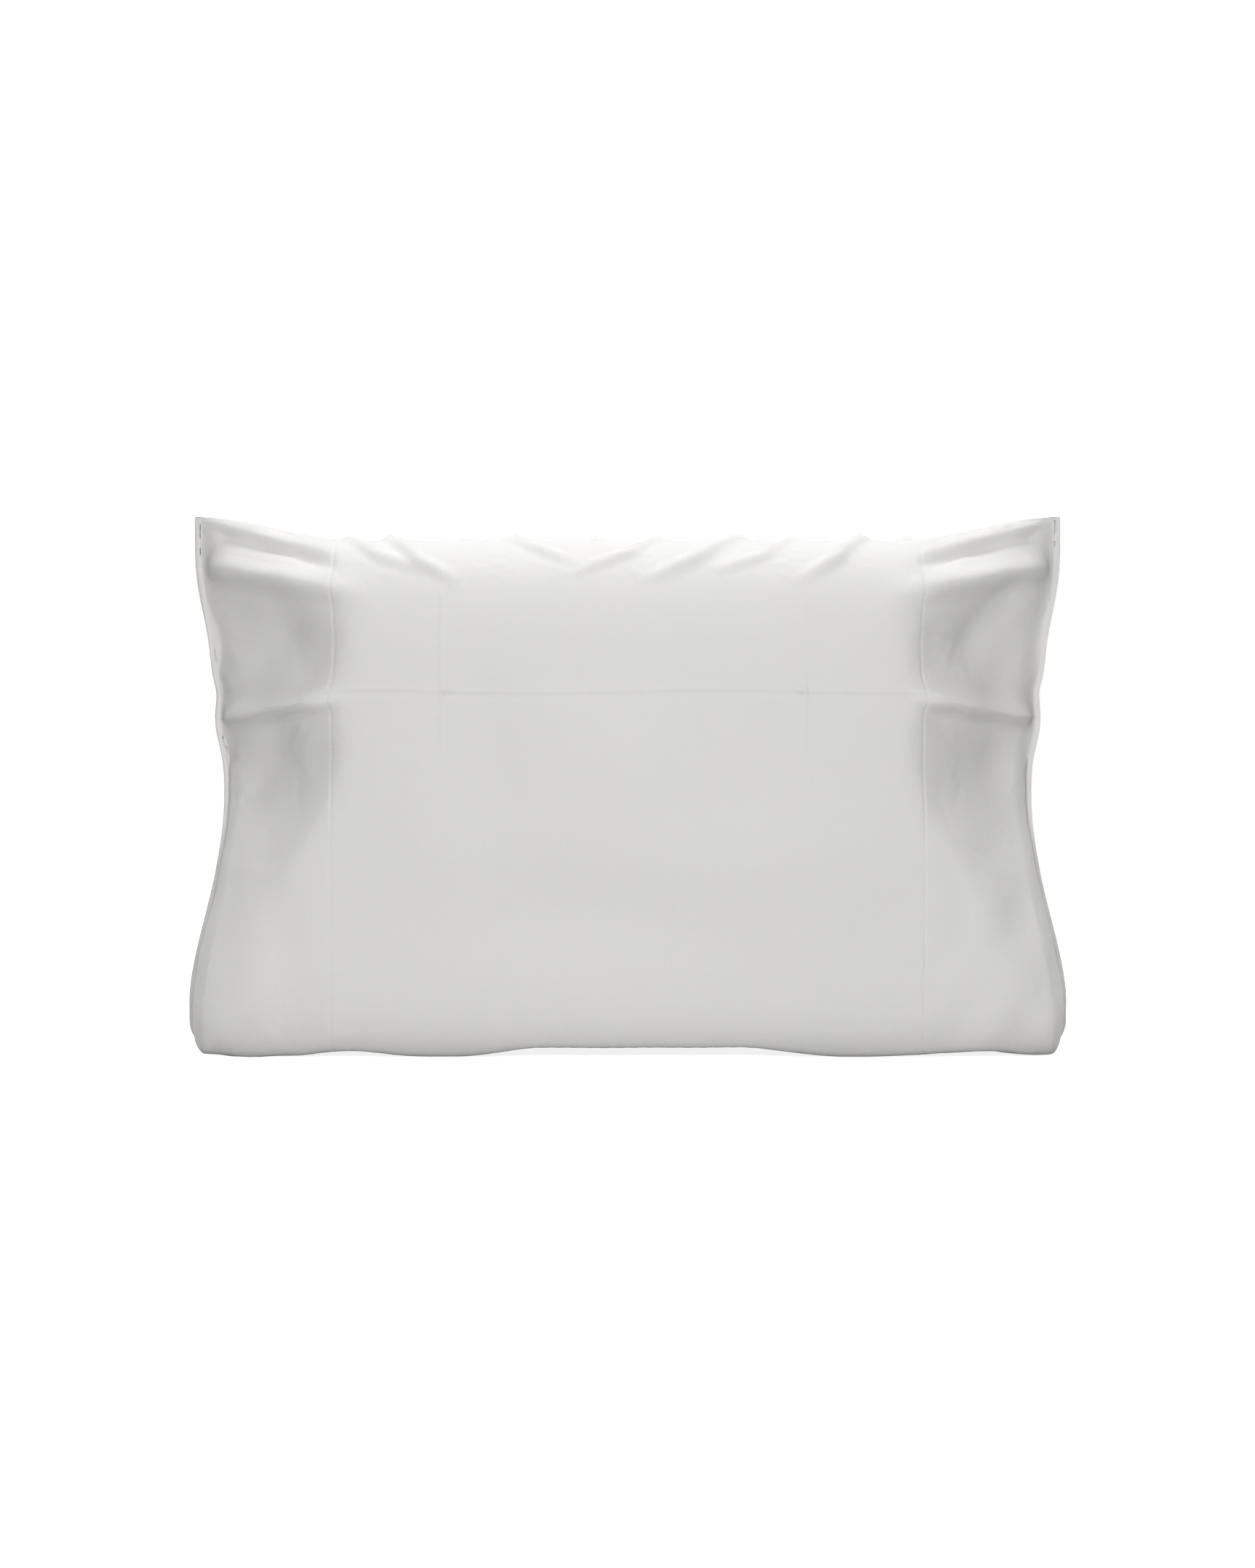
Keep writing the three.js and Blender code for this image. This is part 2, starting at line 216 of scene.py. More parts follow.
topFolds = [
    {"name": "left shoulder fold", "path": [(-0.200, 0.440), (-0.170, 0.404), (-0.128, 0.382)],
     "wide": (0.007, 0.0055), "lift": 0.0050, "taper": (0.05, 0.5)},
    {"name": "left outer fold", "path": [(-0.236, 0.440), (-0.205, 0.410), (-0.160, 0.394)],
     "wide": (0.008, 0.006), "lift": 0.0035, "taper": (0.05, 0.5)},
    {"name": "left inner fold", "path": [(-0.102, 0.440), (-0.075, 0.416), (-0.040, 0.402)],
     "wide": (0.006, 0.005), "lift": 0.0036, "taper": (0.05, 0.5)},
    {"name": "middle fold", "path": [(0.030, 0.440), (0.004, 0.412), (-0.052, 0.391)],
     "wide": (0.006, 0.005), "lift": 0.0040, "taper": (0.05, 0.5)},
    {"name": "right inner fold", "path": [(0.098, 0.440), (0.058, 0.408), (0.004, 0.384)],
     "wide": (0.006, 0.007), "lift": 0.0052, "taper": (0.05, 0.5)},
    {"name": "right crossing fold", "path": [(0.140, 0.440), (0.112, 0.410), (0.060, 0.392)],
     "wide": (0.006, 0.006), "lift": 0.0030, "taper": (0.05, 0.5)},
    {"name": "right shoulder fold", "path": [(0.196, 0.440), (0.172, 0.408), (0.130, 0.382)],
     "wide": (0.0055, 0.007), "lift": 0.0050, "taper": (0.05, 0.5)},
]
faceSwells = [
    {"name": "low right swell", "at": (0.112, 0.165), "size": (0.100, 0.045), "depth": -0.0075},
    {"name": "low left dip", "at": (-0.070, 0.120), "size": (0.110, 0.035), "depth": 0.0045},
    {"name": "upper left dip", "at": (-0.115, 0.245), "size": (0.028, 0.065), "depth": 0.0045},
    {"name": "middle swell", "at": (-0.005, 0.235), "size": (0.055, 0.050), "depth": -0.0045},
]


def creaseDrop(x):
    # how far the long crease has dropped, against its height on the face
    return creases["levelDrop"] * ease((np.abs(x) - hemLine + 0.01) / 0.10)


def foldLift(x, rise, fold, mirror=1):
    path = np.array([(mirror * px, riseAt(pz, px)) for px, pz in fold["path"]])
    step = np.hypot(*np.diff(path, axis=0).T)
    total = step.sum()
    best = np.full(x.shape, 1e9)
    side = np.zeros(x.shape)
    along = np.zeros(x.shape)
    done = 0.0
    for (a, b), length in zip(zip(path[:-1], path[1:]), step):
        way = (b - a) / length
        t = np.clip((x - a[0]) * way[0] + (rise - a[1]) * way[1], 0, length)
        dx, dz = x - a[0] - t * way[0], rise - a[1] - t * way[1]
        far = np.hypot(dx, dz)
        near = far < best
        best = np.where(near, far, best)
        side = np.where(near, np.sign(dz), side)
        along = np.where(near, (done + t) / total, along)
        done += length
    above, below = fold["wide"]
    wide = np.where(side > 0, above, below)
    start, end = fold["taper"]
    fade = ease(along / start) * ease((1 - along) / end)
    return fold["lift"] * fade * np.exp(-((best / wide) ** 2))


def hollowDepth(x, rise, hollow, mirror=1):
    cx, cz = mirror * hollow["at"][0], riseAt(hollow["at"][1], hollow["at"][0])
    sx, sz = hollow["size"]
    return hollow["depth"] * np.exp(-(((x - cx) / sx) ** 2) - ((rise - cz) / sz) ** 2)


def softNoise(u, v, size, seed):
    # smooth noise from -1 to 1 over two coordinates in metres, the same every run
    dice = np.random.default_rng(seed)
    total = np.zeros(np.broadcast(u, v).shape)
    for _ in range(7):
        turn = dice.uniform(0, math.pi)
        pace = 2 * math.pi / size * dice.uniform(0.6, 1.5)
        total += np.sin(pace * (u * math.cos(turn) + v * math.sin(turn)) + dice.uniform(0, 2 * math.pi))
    return total / 4.5


def rimFade(across, rise):
    # nothing moves at the seams themselves
    fromEnd = hemLine + hemDeep - np.abs(across)
    return ease((topRise - rise) / 0.006) * ease((rise - footRise) / 0.006) * ease(fromEnd / 0.006)


def foldedLift(across, rise, x, side):
    # folds and hollows: how far the cloth stands off the smooth case, along its normal
    lift = np.zeros(x.shape)
    flip = 1 if side == "front" else -1
    # folds run out just before the end itself
    intoEnd = ease((hemLine + hemDeep - np.abs(across) - 0.002) / 0.032)
    for mirror in (-1, 1):
        for fold in endFolds:
            lift += foldLift(x, rise, fold, mirror) * intoEnd
        for hollow in endHollows:
            lift -= hollowDepth(x, rise, hollow, mirror)
    for fold in topFolds:
        lift += foldLift(x, rise, fold, flip)
    for swell in faceSwells:
        lift -= hollowDepth(x, rise, swell, flip)
    return lift * rimFade(across, rise)


def fineLift(across, rise, x, side):
    lift = np.zeros(x.shape)
    # pressed creases
    levelRise = riseAt(creases["levelHigh"]) - creaseDrop(x)
    wander = 0.0012 * np.sin(x / 0.045 + (0 if side == "front" else 2))
    far = (rise - levelRise - wander) / creases["ridgeWide"]
    lift += creases["ridge"] * (np.exp(-far ** 2) - 0.55 * np.exp(-(far + 2.4) ** 2 / 2))
    for mirror, uprightAt in zip((-1, 1), creases["uprightAt"]):
        far = (x - uprightAt) / creases["ridgeWide"]
        fade = ease((rise - riseAt(0.19)) / 0.09) * ease((riseAt(0.40) - rise) / 0.05)
        profile = np.exp(-far ** 2) - 0.5 * np.exp(-(far - 2.2 * mirror) ** 2)
        lift += creases["uprightRidge"] * fade * profile
        # the two creases cross in a small pucker
        cx, cz = x - uprightAt + mirror * 0.006, rise - levelRise - 0.004
        slant = (cx + cz * mirror * 0.9) / 0.0035
        lift += creases["crossing"] * np.exp(-slant ** 2 - (cz / 0.010) ** 2 - (cx / 0.012) ** 2)
    # puckers along the seams
    fromTop, fromFoot = topRise - rise, rise - footRise
    fromEnd = hemLine + hemDeep - np.abs(across)
    pucker = softNoise(across, rise * 0.15, 0.017, 5 if side == "front" else 6)
    lift += wrinkles["topPucker"] * pucker * np.exp(-(fromTop / 0.016)) * ease(fromTop / 0.003)
    lift += wrinkles["footPucker"] * pucker * np.exp(-(fromFoot / 0.014)) * ease(fromFoot / 0.003)
    pucker = softNoise(across * 0.15, rise, 0.020, 7 if side == "front" else 8)
    lift += wrinkles["endPucker"] * pucker * np.exp(-(fromEnd / 0.012)) * ease(fromEnd / 0.003)
    # the stitches draw the hem in, and its cloth puffs up on either side of them
    far = np.abs(np.abs(across) - hemLine)
    lift -= wrinkles["stitchDip"] * np.exp(-((far / 0.0011) ** 2))
    lift += wrinkles["stitchPuff"] * np.exp(-(((far - 0.0032) / 0.0022) ** 2))
    pull = softNoise(across * 0.2, rise, 0.014, 9)
    lift += wrinkles["stitchPull"] * pull * np.exp(-(far / 0.010))
    # slack cloth is never quite smooth
    slack = ease((np.abs(x) - 0.22) / 0.05)
    lift += wrinkles["slackEnd"] * slack * softNoise(across, rise, 0.050, 11 if side == "front" else 12)
    lift += wrinkles["everywhere"] * softNoise(across, rise, 0.090, 13 if side == "front" else 14)
    return lift * rimFade(across, rise)


def gridNormals(points):
    acrossWay = np.gradient(points, axis=1)
    riseWay = np.gradient(points, axis=0)
    normal = np.cross(acrossWay, riseWay)
    return normal / np.maximum(np.linalg.norm(normal, axis=-1, keepdims=True), 1e-12)


def stationsAcross(spacing, extra=()):
    body = int(round(2 * hemLine / spacing))
    band = int(round(1.12 * hemDeep / spacing))
    line = np.concatenate([
        hemLine + np.linspace(-1, 0, band + 1)[:-1] * hemDeep - 2 * hemLine,
        np.linspace(-hemLine, hemLine, body + 1),
        hemLine + np.linspace(0, 1, band + 1)[1:] * hemDeep,
    ])
    return merged(line, extra, spacing)


def stationsUp(spacing, extra=()):
    count = int(round((topRise - footRise) / spacing))
    return merged(np.linspace(footRise, topRise, count + 1), extra, spacing)


def merged(line, extra, spacing):
    # adds stations to an even line, and drops the even ones that stand too close to them
    extra = np.array(sorted(extra))
    if not len(extra):
        return line
    keep = [v for v in line[1:-1] if np.abs(extra - v).min() > 0.45 * spacing]
    return np.array(sorted([line[0], line[-1], *keep, *extra]))


def panelPoints(acrossLine, riseLine, side):
    # outer face of the finished front or back, over a grid of stations
    across, row = np.meshgrid(acrossLine, riseLine)
    smooth = caseSurface(across, row)
    drop = creaseDrop(smooth[..., 0])
    level = riseAt(creases["levelHigh"])
    rise = row - drop * np.exp(-(((row - level) / 0.075) ** 2))       # rows follow the long crease
    folded = foldedPoints(across, rise, side) + settledShift(across, rise, side)
    points = folded + gridNormals(folded) * fineLift(across, rise, smooth[..., 0], side)[..., None]
    nearest = np.maximum(0.5 * smooth[..., 1], -0.0004)      # and never pass behind the seams
    points[..., 1] = np.minimum(points[..., 1], nearest)
    points[..., 2] = np.maximum(points[..., 2], 0.0002)
    return points, folded, across, rise


def foldedPoints(across, rise, side):
    smooth = caseSurface(across, rise)
    return smooth + gridNormals(smooth) * foldedLift(across, rise, smooth[..., 0], side)[..., None]


# settling: slack cloth is let go over the stuffed shape, and buckles where it is loose

settling = {
    "spacing": 0.0062,
    "frames": 24,
    "steps": 6,
    "slackFace": -0.002,      # extra cloth, as a share of its length, on the firm face
    "slackEnds": -0.018,      # and in the loose ends and along the top
    "holdFace": 0.85,         # how firmly the filling holds the cloth
    "holdEnds": 0.30,
    "holdFolds": 0.85,        # folds that were pressed in keep their place
    "furthest": 0.009,        # cap on how far any point may move
    "bend": 0.35,
    "weight": 0.25,           # share of gravity, because the filling carries the rest
    "pressure": 0.15,
}
settledGrid = {}
endReach = hemLine + hemDeep


def settleCase():
    nearEnd = [endReach - caseFall["lip"] - offset for offset in (0, 0.0006, 0.0025, 0.0065)]
    acrossAt = stationsAcross(settling["spacing"], [sign * place for sign in (-1, 1) for place in nearEnd])
    riseAtRows = stationsUp(settling["spacing"])
    across, rise = np.meshgrid(acrossAt, riseAtRows)
    rows, columns = across.shape
    front = foldedPoints(across, rise, "front")
    back = foldedPoints(across, rise, "back") * np.array([1, -1, 1])
    frontIndex = np.arange(rows * columns).reshape(rows, columns)
    backIndex = frontIndex + rows * columns
    for edge in (np.s_[0, :], np.s_[-1, :], np.s_[:, 0], np.s_[:, -1]):
        backIndex[edge] = frontIndex[edge]          # the two panels are sewn together at their edges
        front[edge][..., 1] = 0
    used, compact = np.unique(np.concatenate([frontIndex.ravel(), backIndex.ravel()]), return_inverse=True)
    frontIndex, backIndex = compact.reshape(2, rows, columns)
    start = np.concatenate([front.reshape(-1, 3), back.reshape(-1, 3)])[used]

    def quads(index, flip):
        corners = [index[:-1, :-1], index[:-1, 1:], index[1:, 1:], index[1:, :-1]]
        faces = np.stack(corners, -1).reshape(-1, 4)
        return faces[:, ::-1] if flip else faces

    mesh = bpy.data.meshes.new("settling")
    shell = np.concatenate([quads(frontIndex, False), quads(backIndex, True)])
    mesh.from_pydata(start.tolist(), [], shell.tolist())
    trial = bpy.data.objects.new("settling", mesh)
    bpy.context.scene.collection.objects.link(trial)
    # how loose each point is: the end bands and the strip under the top seam
    x = np.abs(front[..., 0])
    loose = np.maximum(ease((x - 0.225) / 0.045), 0.85 * ease((rise - riseAt(0.355)) / 0.05))
    loose = np.maximum(loose, 0.5 * ease((riseAt(0.045) - rise) / 0.04))
    edge = np.zeros(across.shape, bool)
    for line in (np.s_[0, :], np.s_[-1, :], np.s_[:, 0], np.s_[:, -1]):
        edge[line] = True
    ridges = np.zeros(across.shape)
    for mirror in (-1, 1):
        for fold in endFolds:
            ridges += np.abs(foldLift(front[..., 0], rise, fold, mirror))
    hold = settling["holdFace"] + (settling["holdEnds"] - settling["holdFace"]) * loose
    hold = np.where(edge, 1.0, np.maximum(hold, settling["holdFolds"] * np.minimum(ridges / 0.006, 1)))
    holdGroup, slackGroup = trial.vertex_groups.new(name="hold"), trial.vertex_groups.new(name="slack")
    for index in (frontIndex, backIndex):
        vertices = index.ravel().tolist()
        for vertex, firm, slack in zip(vertices, hold.ravel().tolist(), loose.ravel().tolist()):
            holdGroup.add([vertex], firm, "REPLACE")
            slackGroup.add([vertex], slack, "REPLACE")
    trial.modifiers.new("Cloth", "CLOTH")
    rules = trial.modifiers["Cloth"].settings
    rules.quality = settling["steps"]
    rules.mass = 0.25
    rules.tension_stiffness = 25
    rules.compression_stiffness = 25
    rules.shear_stiffness = 8
    rules.bending_stiffness = settling["bend"]
    rules.tension_damping = rules.compression_damping = 12
    rules.vertex_group_mass = "hold"
    rules.pin_stiffness = 1.0
    rules.vertex_group_shrink = "slack"
    rules.shrink_min = settling["slackFace"]
    rules.shrink_max = settling["slackEnds"]
    rules.effector_weights.gravity = settling["weight"]
    rules.use_pressure = True
    rules.uniform_pressure_force = settling["pressure"]
    trial.modifiers["Cloth"].collision_settings.use_collision = False
    scene = bpy.context.scene
    scene.frame_start, scene.frame_end = 1, settling["frames"]
    trial.modifiers["Cloth"].point_cache.frame_end = settling["frames"]
    for frameNumber in range(1, settling["frames"] + 1):
        scene.frame_set(frameNumber)
    landed = trial.evaluated_get(bpy.context.evaluated_depsgraph_get())
    moved = np.empty(len(start) * 3, np.float32)
    landed.data.vertices.foreach_get("co", moved)
    shift = moved.reshape(-1, 3).astype(float) - start
    far = np.linalg.norm(shift, axis=1, keepdims=True)
    print("settled: mean move %.2f mm, furthest %.2f mm" % (1000 * far.mean(), 1000 * far.max()))
    shift *= np.minimum(1, settling["furthest"] / np.maximum(far, 1e-9))
    bpy.data.objects.remove(trial)
    scene.frame_set(1)
    settledGrid["across"], settledGrid["rise"] = acrossAt, riseAtRows
    settledGrid["front"] = shift[frontIndex]
    settledGrid["back"] = shift[backIndex] * np.array([1, -1, 1])


def cubicWeights(stations, wanted):
    # the four stations round each wanted place, and a smooth curve's share of each
    cell = np.clip(np.searchsorted(stations, wanted, side="right") - 1, 0, len(stations) - 2)
    t = np.clip((wanted - stations[cell]) / (stations[cell + 1] - stations[cell]), 0, 1)
    picks = np.clip(np.stack([cell - 1, cell, cell + 1, cell + 2]), 0, len(stations) - 1)
    shares = np.stack([
        -0.5 * t + t ** 2 - 0.5 * t ** 3,
        1 - 2.5 * t ** 2 + 1.5 * t ** 3,
        0.5 * t + 2 * t ** 2 - 1.5 * t ** 3,
        -0.5 * t ** 2 + 0.5 * t ** 3,
    ])
    return picks, shares


def settledShift(across, rise, side):
    if not settledGrid:
        return np.zeros(across.shape + (3,))
    a, aShare = cubicWeights(settledGrid["across"], across.ravel())
    r, rShare = cubicWeights(settledGrid["rise"], rise.ravel())
    total = np.zeros((across.size, 3))
    for i in range(4):
        for j in range(4):
            total += (rShare[i] * aShare[j])[:, None] * settledGrid[side][r[i], a[j]]
    return total.reshape(across.shape + (3,))


# meshes

def pieceFrom(name, vertices, faces, material, uv=None):
    mesh = bpy.data.meshes.new(name)
    mesh.from_pydata([], [], [])
    mesh.vertices.add(len(vertices))
    mesh.vertices.foreach_set("co", np.asarray(vertices, np.float32).ravel())
    faces = np.asarray(faces, np.int32)
    mesh.loops.add(faces.size)
    mesh.loops.foreach_set("vertex_index", faces.ravel())
    mesh.polygons.add(len(faces))
    mesh.polygons.foreach_set("loop_start", np.arange(len(faces), dtype=np.int32) * faces.shape[1])
    mesh.polygons.foreach_set("use_smooth", np.ones(len(faces), bool))
    if uv is not None:
        layer = mesh.uv_layers.new(name="clothMetres")
        layer.data.foreach_set("uv", np.asarray(uv, np.float32)[faces.ravel()].ravel())
    mesh.update(calc_edges=True)
    mesh.validate()
    piece = bpy.data.objects.new(name, mesh)
    bpy.context.scene.collection.objects.link(piece)
    mesh.materials.append(material)
    return piece


def clothPiece(name, outer, inner, across, rise, material, mirror=False):
    # a closed layer of cloth between two aligned grids of points
    rows, columns = across.shape
    index = np.arange(rows * columns).reshape(rows, columns)
    a, b, c, d = index[:-1, :-1], index[:-1, 1:], index[1:, 1:], index[1:, :-1]
    outside = np.stack([a, b, c, d], -1).reshape(-1, 4)
    inside = outside[:, ::-1] + rows * columns
    ring = np.concatenate([index[0, :], index[1:, -1], index[-1, -2::-1], index[-2:0:-1, 0]])
    after = np.roll(ring, -1)
    rim = np.stack([ring, ring + rows * columns, after + rows * columns, after], -1)
    vertices = np.concatenate([outer.reshape(-1, 3), inner.reshape(-1, 3)])
    faces = np.concatenate([outside, inside, rim])
    if mirror:
        vertices = vertices * np.array([1, -1, 1])
        faces = faces[:, ::-1]
    uv = clothPlaces(outer, across, rise).reshape(-1, 2)
    return pieceFrom(name, vertices, faces, material, np.concatenate([uv, uv]))


def clothPlaces(points, across, rise):
    # how far each point lies along the cloth, so that the weave keeps its scale; one unit is 10 cm
    places = []
    for axis, line in ((1, across[0]), (0, rise[:, 0])):
        step = np.linalg.norm(np.diff(points, axis=axis), axis=-1)
        far = np.insert(np.cumsum(step, axis=axis), 0, 0, axis=axis)
        middle = int(np.argmin(np.abs(line)))
        places.append(far - np.take(far, [middle], axis=axis))
    return np.stack(places, -1) * 10


# materials

percale = {
    "colour": (0.815, 0.812, 0.805),
    "warmth": (0.820, 0.812, 0.798),
    "roughness": 0.82,
    "sheen": 0.12,
    "sheenRoughness": 0.45,
    "threadPitch": 0.00045,     # metres between threads
    "weaveBump": 0.00004,
    "slubBump": 0.00010,
    "crumpleBump": 0.0005,
}


def wovenCloth(name, spec):
    material = bpy.data.materials.new(name)
    material.use_nodes = True
    tree = material.node_tree
    tree.nodes.clear()
    new = tree.nodes.new
    link = tree.links.new
    out = new("ShaderNodeOutputMaterial")
    shader = new("ShaderNodeBsdfPrincipled")
    shader.inputs["Roughness"].default_value = spec["roughness"]
    shader.inputs["Sheen Weight"].default_value = spec["sheen"]
    shader.inputs["Sheen Roughness"].default_value = spec["sheenRoughness"]
    shader.inputs["Specular IOR Level"].default_value = 0.25
    link(shader.outputs["BSDF"], out.inputs["Surface"])
    place = new("ShaderNodeUVMap")
    place.uv_map = "clothMetres"
    metres = new("ShaderNodeVectorMath")
    metres.operation = "SCALE"
    metres.inputs["Scale"].default_value = 0.1
    link(place.outputs["UV"], metres.inputs[0])

    def stretched(scaleU, scaleV, detail, rough):
        scaled = new("ShaderNodeVectorMath")
        scaled.operation = "MULTIPLY"
        scaled.inputs[1].default_value = (scaleU, scaleV, 1)
        link(metres.outputs["Vector"], scaled.inputs[0])
        noise = new("ShaderNodeTexNoise")
        noise.noise_dimensions = "2D"
        noise.inputs["Scale"].default_value = 1
        noise.inputs["Detail"].default_value = detail
        noise.inputs["Roughness"].default_value = rough
        link(scaled.outputs["Vector"], noise.inputs["Vector"])
        return noise.outputs["Fac"]

    def maths(operation, a, b):
        node = new("ShaderNodeMath")
        node.operation = operation
        for socket, value in zip(node.inputs, (a, b)):
            if isinstance(value, (int, float)):
                socket.default_value = value
            else:
                link(value, socket)
        return node.outputs[0]

    apart = new("ShaderNodeSeparateXYZ")
    link(metres.outputs["Vector"], apart.inputs[0])
    turns = 2 * math.pi / spec["threadPitch"]
    warp = maths("SINE", maths("MULTIPLY", apart.outputs["X"], turns), 0)
    weft = maths("SINE", maths("MULTIPLY", apart.outputs["Y"], turns), 0)
    weave = maths("MULTIPLY", warp, weft)
    slub = maths("ADD", stretched(1500, 130, 2, 0.5), stretched(130, 1500, 2, 0.5))
    crumple = stretched(28, 28, 5, 0.55)
    height = maths("ADD", maths("MULTIPLY", weave, spec["weaveBump"]),
                   maths("ADD", maths("MULTIPLY", slub, spec["slubBump"]),
                         maths("MULTIPLY", crumple, spec["crumpleBump"])))
    bump = new("ShaderNodeBump")
    bump.inputs["Strength"].default_value = 1.0
    bump.inputs["Distance"].default_value = 1.0
    link(height, bump.inputs["Height"])
    link(bump.outputs["Normal"], shader.inputs["Normal"])
    tone = new("ShaderNodeMix")
    tone.data_type = "RGBA"
    tone.inputs["A"].default_value = (*spec["colour"], 1)
    tone.inputs["B"].default_value = (*spec["warmth"], 1)
    link(stretched(9, 9, 3, 0.5), tone.inputs["Factor"])
    link(tone.outputs["Result"], shader.inputs["Base Color"])
    return material


def finish(name, colour, roughness, grain, height, sheen=0.0, stretch=(1, 1, 1)):
    # a material for thread, satin or fibre, grained along the object's own axes
    material = bpy.data.materials.new(name)
    material.use_nodes = True
    tree = material.node_tree
    shader = tree.nodes["Principled BSDF"]
    shader.inputs["Roughness"].default_value = roughness
    shader.inputs["Sheen Weight"].default_value = sheen
    shader.inputs["Specular IOR Level"].default_value = 0.3
    place = tree.nodes.new("ShaderNodeTexCoord")
    scaled = tree.nodes.new("ShaderNodeVectorMath")
    scaled.operation = "MULTIPLY"
    scaled.inputs[1].default_value = stretch
    noise = tree.nodes.new("ShaderNodeTexNoise")
    noise.inputs["Scale"].default_value = grain
    noise.inputs["Detail"].default_value = 4
    bump = tree.nodes.new("ShaderNodeBump")
    bump.inputs["Strength"].default_value = 1.0
    bump.inputs["Distance"].default_value = height
    tone = tree.nodes.new("ShaderNodeMix")
    tone.data_type = "RGBA"
    tone.inputs["A"].default_value = (*colour, 1)
    tone.inputs["B"].default_value = (*[0.93 * c for c in colour], 1)
    tree.links.new(place.outputs["Object"], scaled.inputs[0])
    tree.links.new(scaled.outputs["Vector"], noise.inputs["Vector"])
    tree.links.new(noise.outputs["Fac"], bump.inputs["Height"])
    tree.links.new(noise.outputs["Fac"], tone.inputs["Factor"])
    tree.links.new(bump.outputs["Normal"], shader.inputs["Normal"])
    tree.links.new(tone.outputs["Result"], shader.inputs["Base Color"])
    return material


ticking = dict(percale, colour=(0.80, 0.79, 0.76), warmth=(0.82, 0.80, 0.76),
               threadPitch=0.0007, slubBump=0.00016)
caseCotton = wovenCloth("caseCotton", percale)
tickingCotton = wovenCloth("tickingCotton", ticking)
sewingThread = finish("sewingThread", (0.84, 0.84, 0.83), 0.55, 2600, 0.00006, sheen=0.1)
fillingFibre = finish("fillingFibre", (0.86, 0.86, 0.85), 0.95, 180, 0.0020, sheen=0.4)
labelSatin = finish("labelSatin", (0.88, 0.88, 0.87), 0.32, 900, 0.00003, stretch=(1, 1, 0.06))


def dress(piece, slot, *nodes, flat=None, fill=None):
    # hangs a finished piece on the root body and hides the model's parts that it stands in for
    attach(piece, "root")
    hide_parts(*nodes)
    return piece


settleCase()
print("let the case settle")

# the case
grid = {
    "spacing": 0.0033,
    "hemOffsets": (-0.0048, -0.0030, -0.0018, -0.0009, 0, 0.0009, 0.0018, 0.0030, 0.0048),
    "uprightOffsets": (-0.0045, -0.0027, -0.0012, 0, 0.0012, 0.0027, 0.0045),
    "creaseOffsets": (-0.0072, -0.0050, -0.0034, -0.0020, -0.0010, 0, 0.0010, 0.0020, 0.0034, 0.0050),
    "rimOffsets": (0.0003, 0.0009, 0.0018, 0.0034),
    "wallOffsets": (0, 0.00005, 0.0002, 0.0005, 0.001, 0.0017, 0.0026, 0.0037, 0.005, 0.0065, 0.0085,
                    0.011, 0.014),
}
acrossExtra, upExtra = [], [riseAt(creases["levelHigh"]) + o for o in grid["creaseOffsets"]]
for sign in (-1, 1):
    acrossExtra += [sign * hemLine + o for o in grid["hemOffsets"]]
    acrossExtra += [sign * (endReach - o) for o in grid["rimOffsets"]]
    acrossExtra += [sign * (endReach - caseFall["lip"] - o) for o in grid["wallOffsets"]]
acrossExtra += [uprightAt + o for uprightAt in creases["uprightAt"] for o in grid["uprightOffsets"]]
upExtra += [topRise - o for o in grid["rimOffsets"][1:]] + [footRise + o for o in grid["rimOffsets"][1:]]
acrossLine = stationsAcross(grid["spacing"], acrossExtra)
riseLine = stationsUp(grid["spacing"], upExtra)
print("case grid", len(acrossLine), "x", len(riseLine))

case = {}
for side, node in (("front", "case_front_panel"), ("back", "case_back_panel")):
    outer, folded, across, rise = panelPoints(acrossLine, riseLine, side)
    inward = -gridNormals(outer)
    case[side] = {"outer": outer, "folded": folded, "inward": inward, "across": across, "rise": rise}
    inner = outer + inward * cloth["thick"]
    inner[..., 1] = np.minimum(inner[..., 1], -caseFall["seamGap"])
    inner[..., 2] = np.maximum(inner[..., 2], 0.0006)
    panel = clothPiece(f"case{side.capitalize()}", outer, inner, across, rise, caseCotton,
                       mirror=side == "back")
    dress(panel, "case_cloth", node, flat=(cloth["flatLong"], cloth["flatHigh"]))
    print("sewed the case's", side, len(panel.data.polygons), "faces")


# cloth inside the case

def liningPiece(name, node, side, acrossSpan, riseSpan, depth, thick, flat, every=2):
    # a layer that lies against the inside of a panel, between two lines across it and two up it
    there = case[side]
    columns = np.flatnonzero((acrossLine >= acrossSpan[0]) & (acrossLine <= acrossSpan[1]))
    columns = np.unique(np.append(columns[::every], columns[-1]))
    rows = np.flatnonzero((riseLine >= riseSpan[0]) & (riseLine <= riseSpan[1]))
    rows = np.unique(np.append(rows[::every], rows[-1]))
    pick = np.ix_(rows, columns)
    faces = []
    for inset in (depth, depth + thick):
        points = there["outer"][pick] + there["inward"][pick] * inset
        # the layers stay in order where an ear is thin
        thinnest = (0.30 - 140 * inset) * there["outer"][pick][..., 1]
        points[..., 1] = np.minimum(points[..., 1], thinnest)
        faces.append(points)
    piece = clothPiece(name, *faces, there["across"][pick], there["rise"][pick], caseCotton,
                       mirror=side == "back")
    return dress(piece, "case_cloth", node, flat=flat)


